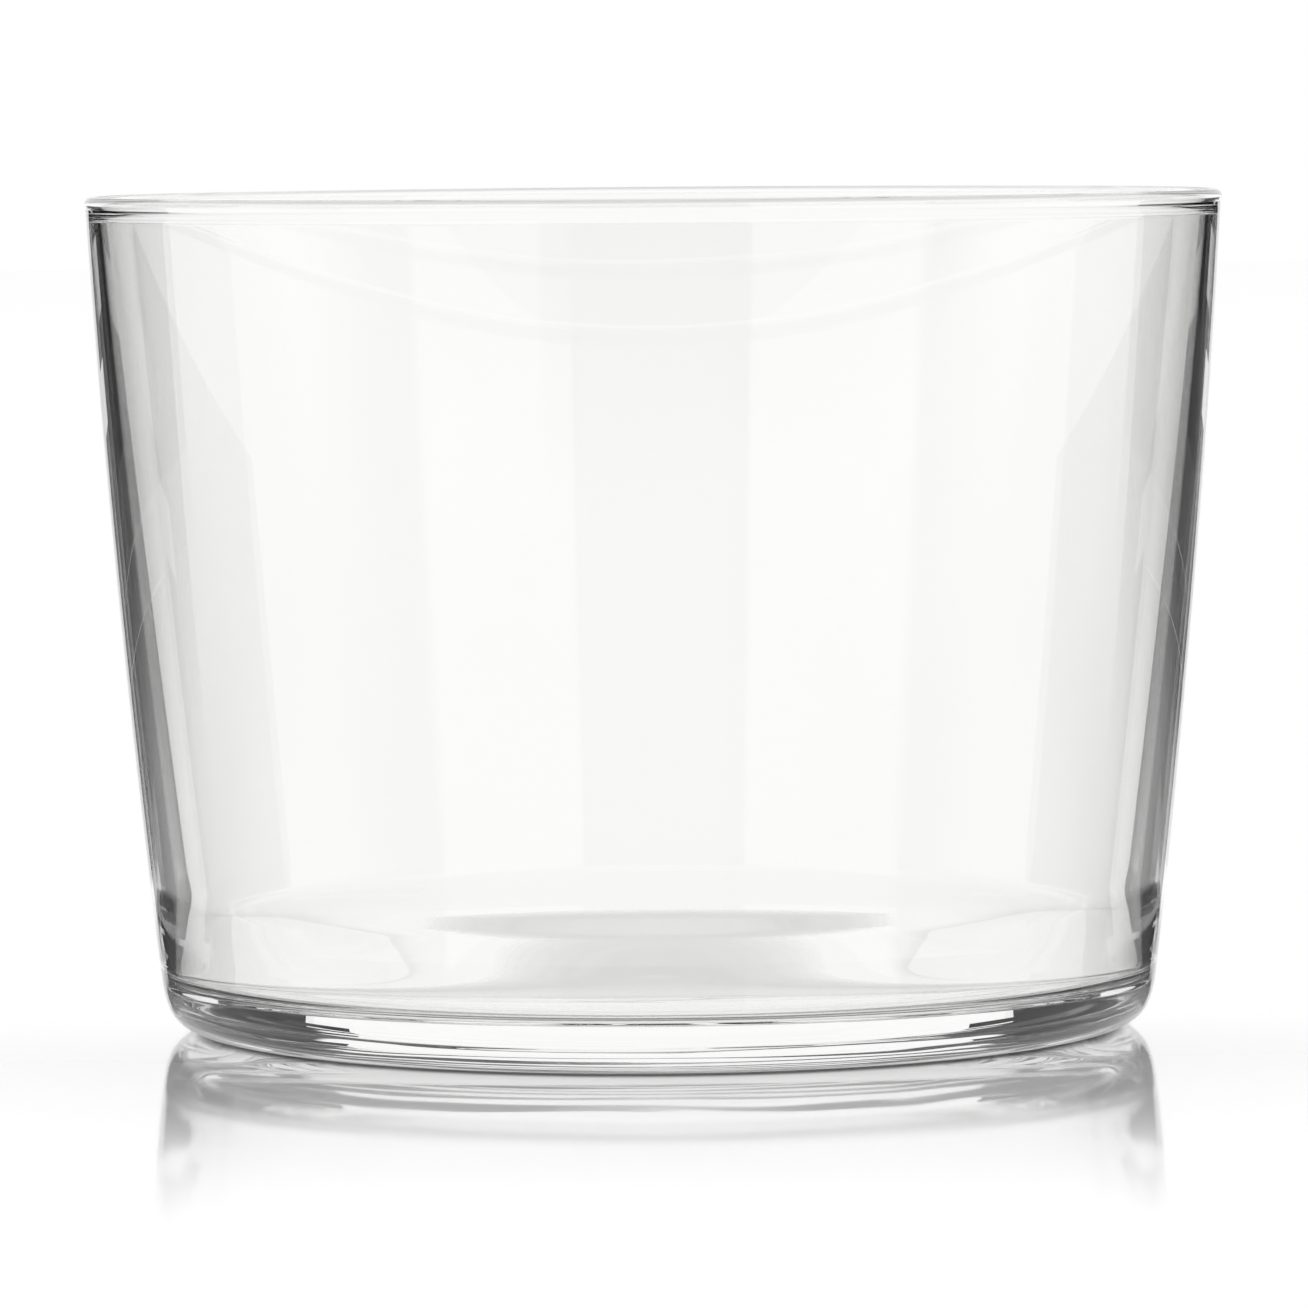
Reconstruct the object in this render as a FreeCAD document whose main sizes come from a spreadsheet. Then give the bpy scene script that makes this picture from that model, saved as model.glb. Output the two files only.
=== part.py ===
"""Low, wide drinking tumbler, pressed and fire-polished in one piece of clear soda-lime glass.

Frame: millimetres, +Z up along the axis of the glass. The origin is the centre of the resting
plane, so the glass stands on z = 0. The model is one revolved section, because the real glass
is one piece, with no joint, seam or fastener anywhere.
"""
import FreeCAD, Part
import math
import os

import Sketcher

# Driving dimensions in millimetres. Each *_radius is measured from the axis of the glass, and
# each *_rounding and *_sweep is the radius of a round stretch of the section.
DIMENSIONS = {
    "height": 62.5,
    "rim_radius": 42.5,             # outermost point of the glass, on the lip
    "lip_rounding": 0.6,            # round, fire-polished lip, slightly proud of both wall faces
    "outer_top_radius": 42.38,      # outer and inner wall faces just under the lip
    "inner_top_radius": 41.38,
    "outer_wall_sweep": 1000.0,     # the tapering wall bows outwards very slightly
    "inner_wall_sweep": 1300.0,
    "heel_end_radius": 37.3,        # where the rounded heel runs into the outer wall
    "heel_rounding": 3.8,
    "heel_blend_rounding": 9.0,     # softer curve from the resting ring into the heel
    "ring_outer_radius": 31.4,      # the glass stands on a flat ring
    "ring_inner_radius": 27.4,
    "recess_radius": 26.7,          # the middle of the underside is hollowed
    "recess_depth": 1.15,
    "floor_height": 3.7,            # inside floor above the resting plane
    "floor_radius": 33.0,           # where the floor starts to curve up into the wall
    "inner_heel_rounding": 3.2,
}

FULL_TURN = 360.0
START, END, CENTRE = 1, 2, 3        # Sketcher's numbers for the points of a line or an arc
HORIZONTAL_AXIS, VERTICAL_AXIS = -1, -2
ORIGIN = (-1, 1)


def make_sheet(doc):
    """Spreadsheet with one aliased cell for each driving dimension."""
    sheet = doc.addObject("Spreadsheet::Sheet", "Dimensions")
    for row, (alias, value) in enumerate(DIMENSIONS.items(), start=1):
        sheet.set(f"A{row}", alias)
        sheet.set(f"B{row}", str(value))
        sheet.setAlias(f"B{row}", alias)
    return sheet


class Section:
    """Sketch of a closed outline in (radius, z), its sizes bound to the cells of the sheet."""

    def __init__(self, body, sheet):
        self.sheet = sheet
        self.sketch = body.newObject("Sketcher::SketchObject", "HalfSection")
        plane = next(f for f in body.Origin.OriginFeatures if f.Role == "XZ_Plane")
        self.sketch.AttachmentSupport = [(plane, "")]
        self.sketch.MapMode = "FlatFace"

    def line(self, start, end):
        segment = Part.LineSegment(FreeCAD.Vector(*start), FreeCAD.Vector(*end))
        return self.sketch.addGeometry(segment, False)

    def arc(self, centre, radius, start, end):
        """Counter-clockwise arc. Its centre and ends only seed the solver."""
        circle = Part.Circle(FreeCAD.Vector(*centre), FreeCAD.Vector(0, 0, 1), radius)
        angles = [math.atan2(z - centre[1], x - centre[0]) for x, z in (start, end)]
        return self.sketch.addGeometry(Part.ArcOfCircle(circle, *angles), False)

    def bowed_wall(self, sweep, foot, top):
        """Long shallow arc up a wall that leans and bows outwards."""
        centre = (foot[0] - sweep, 2 * top[1])
        return self.arc(centre, sweep, foot, top)

    def rule(self, *arguments):
        return self.sketch.addConstraint(Sketcher.Constraint(*arguments))

    def bind(self, alias, *arguments, less=None):
        """Dimensional rule equal to one cell of the sheet, or to that cell less another."""
        value = DIMENSIONS[alias]
        formula = f"{self.sheet.Name}.{alias}"
        if less:
            value -= DIMENSIONS[less]
            formula += f" - {self.sheet.Name}.{less}"
        index = self.rule(*arguments, value)
        self.sketch.setExpression(f"Constraints[{index}]", formula)

    def bind_radius(self, alias, geometry, point, less=None):
        """Distance of a point from the axis of the glass."""
        self.bind(alias, "DistanceX", *ORIGIN, geometry, point, less=less)

    def bind_height(self, alias, geometry, point, less=None):
        """Height of a point above the resting plane."""
        self.bind(alias, "DistanceY", *ORIGIN, geometry, point, less=less)


def draw_underside(section, size):
    """Hollow middle of the underside and the flat ring round it. Returns (hollow, ring)."""
    depth, ring_inner = size["recess_depth"], size["ring_inner_radius"]
    hollow = section.line((0, depth), (size["recess_radius"], depth))
    slope = section.line((size["recess_radius"], depth), (ring_inner, 0))
    ring = section.line((ring_inner, 0), (size["ring_outer_radius"], 0))
    section.rule("PointOnObject", hollow, START, VERTICAL_AXIS)
    section.rule("Horizontal", hollow)
    section.rule("Coincident", hollow, END, slope, START)
    section.rule("Coincident", slope, END, ring, START)
    section.rule("PointOnObject", ring, START, HORIZONTAL_AXIS)
    section.rule("Horizontal", ring)
    section.bind_height("recess_depth", hollow, START)
    section.bind_radius("recess_radius", hollow, END)
    section.bind_radius("ring_inner_radius", ring, START)
    section.bind_radius("ring_outer_radius", ring, END)
    return hollow, ring


def draw_outer_wall(section, size, ring):
    """Rounded heel in two tangent arcs, then the bowed, tapering wall. Returns the wall."""
    ring_outer, heel_rounding = size["ring_outer_radius"], size["heel_rounding"]
    blend_rounding = size["heel_blend_rounding"]
    heel_centre = (size["heel_end_radius"] - heel_rounding, heel_rounding)
    blend_end = ((ring_outer + size["heel_end_radius"]) / 2, 0)
    wall_foot = (size["heel_end_radius"], heel_rounding)
    wall_top = (size["outer_top_radius"], size["height"] - size["lip_rounding"])
    blend = section.arc((ring_outer, blend_rounding), blend_rounding, (ring_outer, 0), blend_end)
    heel = section.arc(heel_centre, heel_rounding, blend_end, wall_foot)
    wall = section.bowed_wall(size["outer_wall_sweep"], wall_foot, wall_top)
    section.rule("Tangent", ring, END, blend, START)
    section.rule("Tangent", blend, END, heel, START)
    section.rule("Tangent", heel, END, wall, START)
    section.bind("heel_blend_rounding", "Radius", blend)
    section.bind("heel_rounding", "Radius", heel)
    section.bind("outer_wall_sweep", "Radius", wall)
    section.bind_radius("heel_end_radius", heel, END)
    section.bind_radius("outer_top_radius", wall, END)
    return wall


def draw_lip(section, size, outer_wall):
    """Round lip that runs from the outer wall over the top to the inner wall."""
    rounding = size["lip_rounding"]
    centre_height = size["height"] - rounding
    outer_end = (size["outer_top_radius"], centre_height - rounding / 2)
    inner_end = (size["inner_top_radius"], centre_height - rounding / 2)
    centre = (size["rim_radius"] - rounding, centre_height)
    lip = section.arc(centre, rounding, outer_end, inner_end)
    section.rule("Coincident", outer_wall, END, lip, START)
    section.bind("lip_rounding", "Radius", lip)
    section.bind_radius("rim_radius", lip, CENTRE, less="lip_rounding")
    section.bind_height("height", lip, CENTRE, less="lip_rounding")
    section.bind_radius("inner_top_radius", lip, END)
    return lip


def draw_inside(section, size, lip):
    """Inner wall, its curve into the floor, and the floor as far as the axis. Returns the floor."""
    rounding = size["inner_heel_rounding"]
    floor_edge = (size["floor_radius"], size["floor_height"])
    heel_centre = (floor_edge[0], floor_edge[1] + rounding)
    wall_foot = (heel_centre[0] + rounding, heel_centre[1])
    wall_top = (size["inner_top_radius"], size["height"] - size["lip_rounding"])
    wall = section.bowed_wall(size["inner_wall_sweep"], wall_foot, wall_top)
    heel = section.arc(heel_centre, rounding, floor_edge, wall_foot)
    floor = section.line(floor_edge, (0, floor_edge[1]))
    section.rule("Coincident", lip, END, wall, END)
    section.rule("Tangent", wall, START, heel, END)
    section.rule("Tangent", heel, START, floor, START)
    section.rule("Horizontal", floor)
    section.rule("PointOnObject", floor, END, VERTICAL_AXIS)
    section.bind("inner_wall_sweep", "Radius", wall)
    section.bind("inner_heel_rounding", "Radius", heel)
    section.bind_radius("floor_radius", floor, START)
    section.bind_height("floor_height", floor, START)
    return floor


def make_tumbler(doc, sheet):
    """The whole glass: one half section, revolved about the axis."""
    body = doc.addObject("PartDesign::Body", "Tumbler")
    body.Label = "glass_tumbler"
    section = Section(body, sheet)
    hollow, ring = draw_underside(section, DIMENSIONS)
    outer_wall = draw_outer_wall(section, DIMENSIONS, ring)
    lip = draw_lip(section, DIMENSIONS, outer_wall)
    floor = draw_inside(section, DIMENSIONS, lip)
    axis = section.line((0, DIMENSIONS["floor_height"]), (0, DIMENSIONS["recess_depth"]))
    section.rule("Coincident", floor, END, axis, START)
    section.rule("Coincident", axis, END, hollow, START)
    doc.recompute()

    turned = body.newObject("PartDesign::Revolution", "Turned")
    turned.Profile = section.sketch
    turned.ReferenceAxis = (section.sketch, ["V_Axis"])
    turned.Angle = FULL_TURN
    body.Tip = turned
    body.Placement = FreeCAD.Placement()
    return body


def check(doc, bodies):
    """Stops the build if any object failed or any sub-part has no valid solid."""
    failed = [o.Label for o in doc.Objects if {"Invalid", "Error"} & set(o.State)]
    if failed:
        raise RuntimeError(f"objects that did not build: {failed}")
    for body in bodies:
        if body.Shape.isNull() or not body.Shape.isValid():
            raise RuntimeError(f"{body.Label} has no valid shape")


def main():
    doc = FreeCAD.newDocument("Tumbler")
    sheet = make_sheet(doc)
    doc.recompute()
    bodies = [make_tumbler(doc, sheet)]
    doc.recompute()
    check(doc, bodies)
    os.makedirs("parts", exist_ok=True)
    for body in bodies:
        body.Shape.exportStep(f"parts/{body.Label}.step")
        box = body.Shape.optimalBoundingBox(False, False)
        print(f"{body.Label}: {len(body.Shape.Solids)} solid, volume {body.Shape.Volume:.0f} mm3, "
              f"{box.XLength:.2f} x {box.YLength:.2f} x {box.ZLength:.2f} mm")


main()
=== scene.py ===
"""Looks of the clear glass tumbler: a turned glass body with a rippled floor, the pale floor it
stands on, a soft studio light and the camera. The outline of the glass is in millimetres, and
everything else is in metres unless its name says MM.
"""
import math

import bpy
from mathutils import Matrix, Vector, noise


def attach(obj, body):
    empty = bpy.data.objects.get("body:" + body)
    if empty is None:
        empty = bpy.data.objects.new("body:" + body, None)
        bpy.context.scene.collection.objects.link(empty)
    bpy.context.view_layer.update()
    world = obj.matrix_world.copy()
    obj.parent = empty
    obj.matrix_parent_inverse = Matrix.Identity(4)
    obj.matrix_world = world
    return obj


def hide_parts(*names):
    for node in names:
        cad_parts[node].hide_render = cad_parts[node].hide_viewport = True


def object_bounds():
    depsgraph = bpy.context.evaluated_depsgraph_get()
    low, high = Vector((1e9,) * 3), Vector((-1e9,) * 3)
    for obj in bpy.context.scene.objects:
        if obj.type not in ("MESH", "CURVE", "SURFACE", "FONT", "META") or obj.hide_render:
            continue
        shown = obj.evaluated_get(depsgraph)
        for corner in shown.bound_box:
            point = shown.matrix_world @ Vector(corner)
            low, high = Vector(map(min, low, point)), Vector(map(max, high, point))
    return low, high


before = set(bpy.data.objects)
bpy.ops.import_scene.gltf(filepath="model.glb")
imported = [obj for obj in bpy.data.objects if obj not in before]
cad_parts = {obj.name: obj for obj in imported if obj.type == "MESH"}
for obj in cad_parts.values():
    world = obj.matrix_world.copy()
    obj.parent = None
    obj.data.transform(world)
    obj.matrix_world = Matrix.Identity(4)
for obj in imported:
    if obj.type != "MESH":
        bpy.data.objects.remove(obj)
cad_low, cad_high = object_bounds()

MM = 0.001
HEIGHT = cad_high.z / MM
RIM_RADIUS = (cad_high.x - cad_low.x) / 2 / MM


# --- outline of the glass ------------------------------------------------------------------

LIP_ROUNDING = 0.6
LIP_ANGLES = (-36.9, 213)                # from the outer wall over the top to the inner wall
OUTER_TOP_RADIUS = RIM_RADIUS - 0.12
INNER_TOP_RADIUS = RIM_RADIUS - 1.12
OUTER_TOP_DROP, INNER_TOP_DROP = 0.36, 0.33    # wall faces end this far below the lip's centre
OUTER_BOW, INNER_BOW = 0.41, 0.25        # both faces of the wall bow outwards a little
HEEL_END = (37.35, 4.2)                  # outer wall meets the rounded heel
HEEL_LOW_PULL, HEEL_HIGH_PULL = 4.1, 3.2
RING_OUTER_RADIUS = 32.1                 # flat ring that the glass stands on
RING_INNER_RADIUS = 27.4
RECESS_RADIUS, RECESS_DEPTH = 26.7, 1.15
INNER_FOOT = (36.25, 10.6)               # inner wall meets the curve down to the floor
FOOT_PULL = 7.1
FLOOR_RADIUS, FLOOR_HEIGHT = 32.9, 3.7
FLOOR_PULL, FLOOR_RISE = 4.6, 0.2
AXIS_GAP = 0.05                          # innermost ring of points, beside the axis

FLOOR_RINGS = 60
SLOPE_RINGS = 6
RING_RINGS = 6
HEEL_RINGS = 30
WALL_RINGS = 60
LIP_RINGS = 22
CORNER_RINGS = 36
SEGMENTS = 288

# --- ripples pressed into the floor of the glass ---------------------------------------------

SWIRL_SCALE, SWIRL_SLICE = 0.04, 4.0
LONG_SCALE, LONG_SLICE, LONG_HEIGHT = (0.04, 0.07), 1.7, 0.14
SHORT_SCALE, SHORT_SLICE, SHORT_HEIGHT = (0.09, 0.14), 9.1, 0.04
RIPPLE_EDGE_GAP, RIPPLE_FADE = 1.0, 5.0


def line(start, end, count, bow=0.0):
    """Points from start up to, but not including, end. bow pushes the middle outwards."""
    points = []
    for i in range(count):
        t = i / count
        bulge = 4 * bow * t * (1 - t)
        points.append((start[0] + (end[0] - start[0]) * t + bulge,
                       start[1] + (end[1] - start[1]) * t))
    return points


def arc(centre, radius, first, last, count):
    """Points on a circle from angle first up to, but not including, last, in degrees."""
    points = []
    for i in range(count):
        angle = math.radians(first + (last - first) * i / count)
        points.append((centre[0] + radius * math.cos(angle), centre[1] + radius * math.sin(angle)))
    return points


def curve(start, start_handle, end_handle, end, count):
    """Cubic curve from start up to, but not including, end."""
    knots = (start, start_handle, end_handle, end)
    points = []
    for i in range(count):
        t = i / count
        u = 1 - t
        weights = (u ** 3, 3 * u * u * t, 3 * u * t * t, t ** 3)
        points.append(tuple(sum(w * k[axis] for w, k in zip(weights, knots)) for axis in (0, 1)))
    return points


def disc(radius, height, inwards):
    """Points across a level disc, from beside the axis out to radius or the other way."""
    steps = [i / FLOOR_RINGS for i in range(FLOOR_RINGS)]
    return [(radius * (1 - t if inwards else t) + AXIS_GAP, height) for t in steps]


def outline():
    """Half section of the glass, from the middle of the underside round to the floor."""
    lip_height = HEIGHT - LIP_ROUNDING
    outer_top = (OUTER_TOP_RADIUS, lip_height - OUTER_TOP_DROP)
    inner_top = (INNER_TOP_RADIUS, lip_height - INNER_TOP_DROP)
    outer_run = OUTER_TOP_RADIUS - HEEL_END[0] + 4 * OUTER_BOW
    outer_lean = outer_run / (outer_top[1] - HEEL_END[1])
    inner_run = INNER_TOP_RADIUS - INNER_FOOT[0] - 4 * INNER_BOW
    inner_lean = inner_run / (inner_top[1] - INNER_FOOT[1])

    points = disc(RECESS_RADIUS - AXIS_GAP, RECESS_DEPTH, False)
    points += line((RECESS_RADIUS, RECESS_DEPTH), (RING_INNER_RADIUS, 0), SLOPE_RINGS)
    points += line((RING_INNER_RADIUS, 0), (RING_OUTER_RADIUS, 0), RING_RINGS)
    points += curve((RING_OUTER_RADIUS, 0), (RING_OUTER_RADIUS + HEEL_LOW_PULL, 0),
                    (HEEL_END[0] - HEEL_HIGH_PULL * outer_lean, HEEL_END[1] - HEEL_HIGH_PULL),
                    HEEL_END, HEEL_RINGS)
    points += line(HEEL_END, outer_top, WALL_RINGS, OUTER_BOW)
    points += arc((RIM_RADIUS - LIP_ROUNDING, lip_height), LIP_ROUNDING, *LIP_ANGLES, LIP_RINGS)
    points += line(inner_top, INNER_FOOT, WALL_RINGS, INNER_BOW)
    points += curve(INNER_FOOT, (INNER_FOOT[0] - FOOT_PULL * inner_lean, INNER_FOOT[1] - FOOT_PULL),
                    (FLOOR_RADIUS + FLOOR_PULL, FLOOR_HEIGHT + FLOOR_PULL * FLOOR_RISE),
                    (FLOOR_RADIUS, FLOOR_HEIGHT), CORNER_RINGS)
    points += disc(FLOOR_RADIUS, FLOOR_HEIGHT, True)
    return points


def ripple(x, y):
    """Height of the ripples at one place on the floor of the glass."""
    swirl = noise.noise(Vector((x * SWIRL_SCALE, y * SWIRL_SCALE, SWIRL_SLICE)))
    long_wave = noise.noise(Vector((x * LONG_SCALE[0] + swirl, y * LONG_SCALE[1] - swirl, LONG_SLICE)))
    short_wave = noise.noise(Vector((x * SHORT_SCALE[0] + swirl, y * SHORT_SCALE[1], SHORT_SLICE)))
    return LONG_HEIGHT * long_wave + SHORT_HEIGHT * short_wave


def turned_glass(points):
    """The outline turned about the axis, with ripples in the floor that fade out at its edge."""
    vertices, faces = [], []
    floor_start = len(points) - FLOOR_RINGS
    for i, (radius, height) in enumerate(points):
        for s in range(SEGMENTS):
            angle = 2 * math.pi * s / SEGMENTS
            x, y, z = radius * math.cos(angle), radius * math.sin(angle), height
            if i >= floor_start:
                fade = (FLOOR_RADIUS - RIPPLE_EDGE_GAP - radius) / RIPPLE_FADE
                fade = min(1.0, max(0.0, fade))
                z += ripple(x, y) * fade * fade * (3 - 2 * fade)
            vertices.append((x * MM, y * MM, z * MM))

    last = (len(points) - 1) * SEGMENTS
    for ring in range(0, last, SEGMENTS):
        for s in range(SEGMENTS):
            n = (s + 1) % SEGMENTS
            faces.append((ring + s, ring + n, ring + SEGMENTS + n, ring + SEGMENTS + s))

    underside_middle, floor_middle = len(vertices), len(vertices) + 1
    vertices += [(0, 0, points[0][1] * MM), (0, 0, points[-1][1] * MM)]
    for s in range(SEGMENTS):
        n = (s + 1) % SEGMENTS
        faces.append((underside_middle, n, s))
        faces.append((floor_middle, last + s, last + n))

    mesh = bpy.data.meshes.new("glass_body")
    mesh.from_pydata(vertices, [], faces)
    mesh.update()
    for polygon in mesh.polygons:
        polygon.use_smooth = True
    obj = bpy.data.objects.new("glass_body", mesh)
    bpy.context.scene.collection.objects.link(obj)
    return obj


# --- materials -----------------------------------------------------------------------------

GLASS_INDEX = 1.52
HAZE_SCALE, HAZE_DETAIL = 45.0, 3.0      # faint patches of slightly less perfect polish
HAZE_ROUGHNESS = (0.5, 0.9, 0.0, 0.03)
CLEAR_TINT, HAZE_TINT = (1.0, 1.0, 0.995, 1), (0.985, 0.99, 0.98, 1)
MIX_FACTOR, MIX_FIRST, MIX_SECOND = 0, 6, 7    # sockets of a Mix node that mixes two colours
WAVE_SCALE, WAVE_STRENGTH, WAVE_HEIGHT = 60.0, 0.15, 0.0001


def math_node(tree, operation, first, second, clamp=False):
    """One math node; first and second are sockets or plain numbers."""
    node = tree.nodes.new("ShaderNodeMath")
    node.operation = operation
    node.use_clamp = clamp
    for socket, value in zip(node.inputs, (first, second)):
        if isinstance(value, (int, float)):
            socket.default_value = value
        else:
            tree.links.new(value, socket)
    return node.outputs[0]


def ramp_node(tree, value, start, end, low=0.0, high=1.0):
    """Smooth step from low at start to high at end."""
    node = tree.nodes.new("ShaderNodeMapRange")
    node.interpolation_type = "SMOOTHSTEP"
    for key, number in (("From Min", start), ("From Max", end), ("To Min", low), ("To Max", high)):
        node.inputs[key].default_value = number
    tree.links.new(value, node.inputs["Value"])
    return node.outputs[0]


def noise_node(tree, coords, scale, detail):
    """Noise fixed to the object."""
    node = tree.nodes.new("ShaderNodeTexNoise")
    node.inputs["Scale"].default_value = scale
    node.inputs["Detail"].default_value = detail
    tree.links.new(coords.outputs["Object"], node.inputs["Vector"])
    return node.outputs["Fac"]


def empty_material(name):
    """Material whose node tree holds only its output. Returns (material, tree, output)."""
    material = bpy.data.materials.new(name)
    material.use_nodes = True
    tree = material.node_tree
    tree.nodes.clear()
    return material, tree, tree.nodes.new("ShaderNodeOutputMaterial")


def glass_material():
    """Clear soda-lime glass: almost colourless, with faint haze and a very slight unevenness."""
    material = bpy.data.materials.new("clear_glass")
    material.use_nodes = True
    t = material.node_tree
    glass = t.nodes["Principled BSDF"]
    glass.inputs["Roughness"].default_value = 0.0
    glass.inputs["IOR"].default_value = GLASS_INDEX
    glass.inputs["Transmission Weight"].default_value = 1.0
    coords = t.nodes.new("ShaderNodeTexCoord")

    haze = noise_node(t, coords, HAZE_SCALE, HAZE_DETAIL)
    t.links.new(ramp_node(t, haze, *HAZE_ROUGHNESS), glass.inputs["Roughness"])
    tint = t.nodes.new("ShaderNodeMix")
    tint.data_type = "RGBA"
    tint.inputs[MIX_FIRST].default_value = CLEAR_TINT
    tint.inputs[MIX_SECOND].default_value = HAZE_TINT
    t.links.new(haze, tint.inputs[MIX_FACTOR])
    t.links.new(tint.outputs[2], glass.inputs["Base Color"])

    bump = t.nodes.new("ShaderNodeBump")
    bump.inputs["Strength"].default_value = WAVE_STRENGTH
    bump.inputs["Distance"].default_value = WAVE_HEIGHT
    t.links.new(noise_node(t, coords, WAVE_SCALE, 0.0), bump.inputs["Height"])
    t.links.new(bump.outputs["Normal"], glass.inputs["Normal"])
    return material


body = turned_glass(outline())
body.data.materials.append(glass_material())
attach(body, "root")
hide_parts("glass_tumbler")


# --- floor ---------------------------------------------------------------------------------

FLOOR_SIZE = 3.0
FLOOR_DROP = 0.00005                     # keeps the floor clear of the resting ring
FLOOR_PAINT = (0.8, 0.8, 0.8, 1)
SHADE_POOL_CENTRE = (0, 0.05, 0)               # painted shade: the floor's painted glow is weaker close behind the glass
SHADE_POOL_GLOW = (0.05, 0.13, 0.55, 0.85)
POLISH_ROUGHNESS, POLISH_INDEX = 0.06, 1.5
NEAR_POLISH = (-0.125, -0.035, 0, 0.68)  # strength of the reflection along Y
BEHIND_POLISH = (-0.03, 0.01, 0, 0.32)
FRONT_POLISH = (-0.2, -0.32)
GRAZING_GAIN, GRAZING_POWER = 2.0, 2.0
CONTACT_SHADOW_START = (0.0315, 0.033)          # painted contact shadow: thin dark ring where the heel meets the floor
CONTACT_SHADOW_END = (0.0358, 0.0335, 0, 0.85)
CONTACT_SHADOW_PAINT = (0.05, 0.05, 0.05, 1)


def position_measure(tree, coords, operation, point=None):
    """Length of the position on the object, or its distance from a point."""
    node = tree.nodes.new("ShaderNodeVectorMath")
    node.operation = operation
    if point:
        node.inputs[1].default_value = point
    tree.links.new(coords.outputs["Object"], node.inputs[0])
    return node.outputs["Value"]


def diffuse_node(tree, color):
    node = tree.nodes.new("ShaderNodeBsdfDiffuse")
    node.inputs["Color"].default_value = color
    return node.outputs[0]


def mix_shaders(tree, factor, first, second):
    node = tree.nodes.new("ShaderNodeMixShader")
    for socket, value in zip(node.inputs, (factor, first, second)):
        tree.links.new(value, socket)
    return node.outputs[0]


def floor_material():
    """Pale paint with a painted glow in place of light falling on it, weaker in a painted shade pool
    behind the glass, a reflection that fades out in front, and a painted contact shadow.
    """
    material, t, out = empty_material("floor")
    coords = t.nodes.new("ShaderNodeTexCoord")

    # Painted light: the floor glows in place of light falling on it, and the glow is weaker in a
    # painted shade pool close behind the glass.
    glow = t.nodes.new("ShaderNodeEmission")
    away = position_measure(t, coords, "DISTANCE", SHADE_POOL_CENTRE)
    t.links.new(ramp_node(t, away, *SHADE_POOL_GLOW), glow.inputs["Strength"])
    pale = t.nodes.new("ShaderNodeAddShader")
    t.links.new(diffuse_node(t, FLOOR_PAINT), pale.inputs[0])
    t.links.new(glow.outputs[0], pale.inputs[1])

    glossy = t.nodes.new("ShaderNodeBsdfGlossy")
    glossy.inputs["Roughness"].default_value = POLISH_ROUGHNESS
    glossy.inputs["Color"].default_value = (1, 1, 1, 1)
    fresnel = t.nodes.new("ShaderNodeFresnel")
    fresnel.inputs["IOR"].default_value = POLISH_INDEX
    split = t.nodes.new("ShaderNodeSeparateXYZ")
    t.links.new(coords.outputs["Object"], split.inputs[0])
    near, behind, front = (ramp_node(t, split.outputs["Y"], *ramp)
                           for ramp in (NEAR_POLISH, BEHIND_POLISH, FRONT_POLISH))
    polish = math_node(t, "ADD", math_node(t, "ADD", near, behind), front, True)
    grazing = math_node(t, "MULTIPLY", fresnel.outputs[0], GRAZING_GAIN)
    grazing = math_node(t, "POWER", grazing, GRAZING_POWER, True)
    shine = math_node(t, "MULTIPLY", polish, grazing)
    surface = mix_shaders(t, shine, pale.outputs[0], glossy.outputs[0])

    # Painted contact shadow: dark paint mixed in over a thin ring where the heel meets the floor.
    radius = position_measure(t, coords, "LENGTH")
    contact_shadow = math_node(t, "MULTIPLY", ramp_node(t, radius, *CONTACT_SHADOW_START),
                        ramp_node(t, radius, *CONTACT_SHADOW_END))
    surface = mix_shaders(t, contact_shadow, surface, diffuse_node(t, CONTACT_SHADOW_PAINT))
    t.links.new(surface, out.inputs["Surface"])
    return material


def make_floor():
    """Large level floor just under the resting plane."""
    size = FLOOR_SIZE
    mesh = bpy.data.meshes.new("floor")
    corners = [(-size, -size, 0), (size, -size, 0), (size, size, 0), (-size, size, 0)]
    mesh.from_pydata(corners, [], [(0, 1, 2, 3)])
    mesh.materials.append(floor_material())
    obj = bpy.data.objects.new("floor", mesh)
    obj.location.z = -FLOOR_DROP
    bpy.context.scene.collection.objects.link(obj)


make_floor()


# --- light ---------------------------------------------------------------------------------

WEDGE_SLOPE = 0.65                       # white backdrop behind the glass: |x| < slope * y
WEDGE_EDGE = (-0.02, 0.03)
BAND_TOP = (0.2, 0.15)                   # white band all round, up to this height on the sky
BAND_LIGHT = (-0.5, 0.0, 0.3, 0.9)       # weaker in front of the glass than beside it
SKY_LIGHT = 0.07

PANEL_STEPS = 16
FLAG_DISTANCE, FLAG_REACH, FLAG_LIGHT = 0.3, 70, 0.02
FLAG_LEVELS = ((0.0, 0.029, 22.5), (0.029, 0.0365, 28), (0.0365, 0.06, 22.5))
SOFTBOX_DISTANCE, SOFTBOX_TOP, SOFTBOX_LIGHT = 0.6, 0.14, 0.8
LEFT_SOFTBOX, RIGHT_SOFTBOX = (-158, -117), (124, 161)


def panel(name, first, last, distance, bottom, top, strength):
    """Upright curved panel round the glass. Angle 0 is behind it, along +Y, and 90 is at +X."""
    material, t, out = empty_material(name)
    glow = t.nodes.new("ShaderNodeEmission")
    glow.inputs["Strength"].default_value = strength
    t.links.new(glow.outputs[0], out.inputs["Surface"])
    vertices = []
    for i in range(PANEL_STEPS + 1):
        angle = math.radians(first + (last - first) * i / PANEL_STEPS)
        for z in (bottom, top):
            vertices.append((distance * math.sin(angle), distance * math.cos(angle), z))
    faces = [(2 * i, 2 * i + 2, 2 * i + 3, 2 * i + 1) for i in range(PANEL_STEPS)]
    mesh = bpy.data.meshes.new(name)
    mesh.from_pydata(vertices, [], faces)
    mesh.materials.append(material)
    obj = bpy.data.objects.new(name, mesh)
    bpy.context.scene.collection.objects.link(obj)


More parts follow.
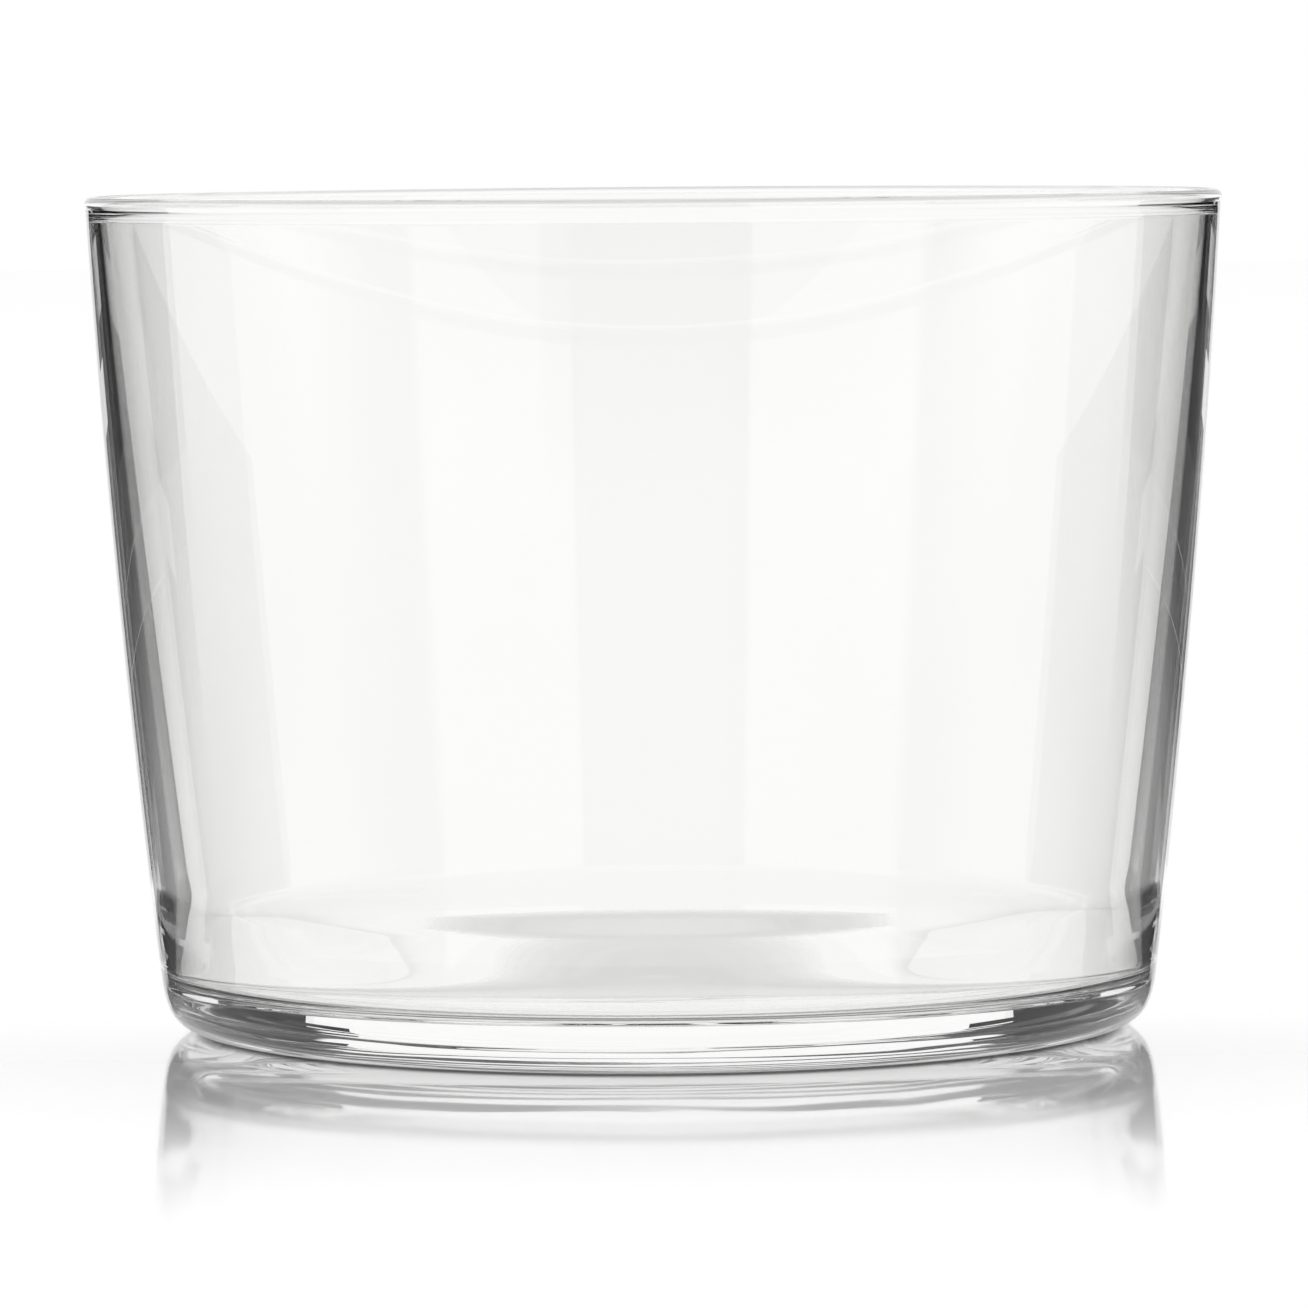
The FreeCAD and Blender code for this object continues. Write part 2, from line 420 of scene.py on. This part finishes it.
def make_world():
    """White backdrop behind the glass, a white band low all round, and a dim sky."""
    world = bpy.data.worlds.new("studio")
    bpy.context.scene.world = world
    world.use_nodes = True
    t = world.node_tree
    t.nodes.clear()
    out = t.nodes.new("ShaderNodeOutputWorld")
    sky = t.nodes.new("ShaderNodeBackground")
    sky.inputs["Color"].default_value = (1, 1, 1, 1)
    t.links.new(sky.outputs[0], out.inputs[0])
    coords = t.nodes.new("ShaderNodeTexCoord")
    split = t.nodes.new("ShaderNodeSeparateXYZ")
    t.links.new(coords.outputs["Generated"], split.inputs[0])
    x, y, z = split.outputs
    spread = math_node(t, "SUBTRACT", math_node(t, "MULTIPLY", y, WEDGE_SLOPE),
                       math_node(t, "ABSOLUTE", x, 0))
    wedge = ramp_node(t, spread, *WEDGE_EDGE)
    band = math_node(t, "MULTIPLY", ramp_node(t, z, *BAND_TOP), ramp_node(t, y, *BAND_LIGHT))
    lit = math_node(t, "MAXIMUM", math_node(t, "MAXIMUM", wedge, band), SKY_LIGHT)
    t.links.new(lit, sky.inputs["Strength"])


make_world()

# Dark flags low at both sides behind the glass draw its edges and the ends of the clear band.
for level, (bottom, top, first) in enumerate(FLAG_LEVELS):
    panel(f"left_flag_{level}", -FLAG_REACH, -first, FLAG_DISTANCE, bottom, top, FLAG_LIGHT)
    panel(f"right_flag_{level}", first, FLAG_REACH, FLAG_DISTANCE, bottom, top, FLAG_LIGHT)

# Softboxes in front give the two pale upright strips on the wall.
panel("left_softbox", *LEFT_SOFTBOX, SOFTBOX_DISTANCE, 0.0, SOFTBOX_TOP, SOFTBOX_LIGHT)
panel("right_softbox", *RIGHT_SOFTBOX, SOFTBOX_DISTANCE, 0.0, SOFTBOX_TOP, SOFTBOX_LIGHT)


# --- camera --------------------------------------------------------------------------------

EYE_MM = (-0.19, -640, 69.2)
AIM_MM = (-0.19, 0, 27.9)
LENS_MM, SENSOR_MM = 235.2, 36
ROLL_DEGREES = -0.45
CLIP_START, CLIP_END = 0.01, 20
ALL_BOUNCES, GLASS_BOUNCES = 32, 24


def make_camera():
    """Camera in front of the glass, slightly above its rim."""
    data = bpy.data.cameras.new("camera")
    camera = bpy.data.objects.new("camera", data)
    bpy.context.scene.collection.objects.link(camera)
    data.sensor_width = SENSOR_MM
    data.lens = LENS_MM
    data.clip_start = CLIP_START
    data.clip_end = CLIP_END
    eye, aim = (Vector([value * MM for value in place]) for place in (EYE_MM, AIM_MM))
    look = (aim - eye).to_track_quat("-Z", "Y").to_matrix().to_4x4()
    roll = Matrix.Rotation(math.radians(ROLL_DEGREES), 4, "Z")
    camera.matrix_world = Matrix.Translation(eye) @ look @ roll
    bpy.context.scene.camera = camera


make_camera()
bpy.context.scene.view_settings.view_transform = "Standard"
cycles = bpy.context.scene.cycles
cycles.max_bounces = ALL_BOUNCES
cycles.glossy_bounces = GLASS_BOUNCES
cycles.transmission_bounces = GLASS_BOUNCES
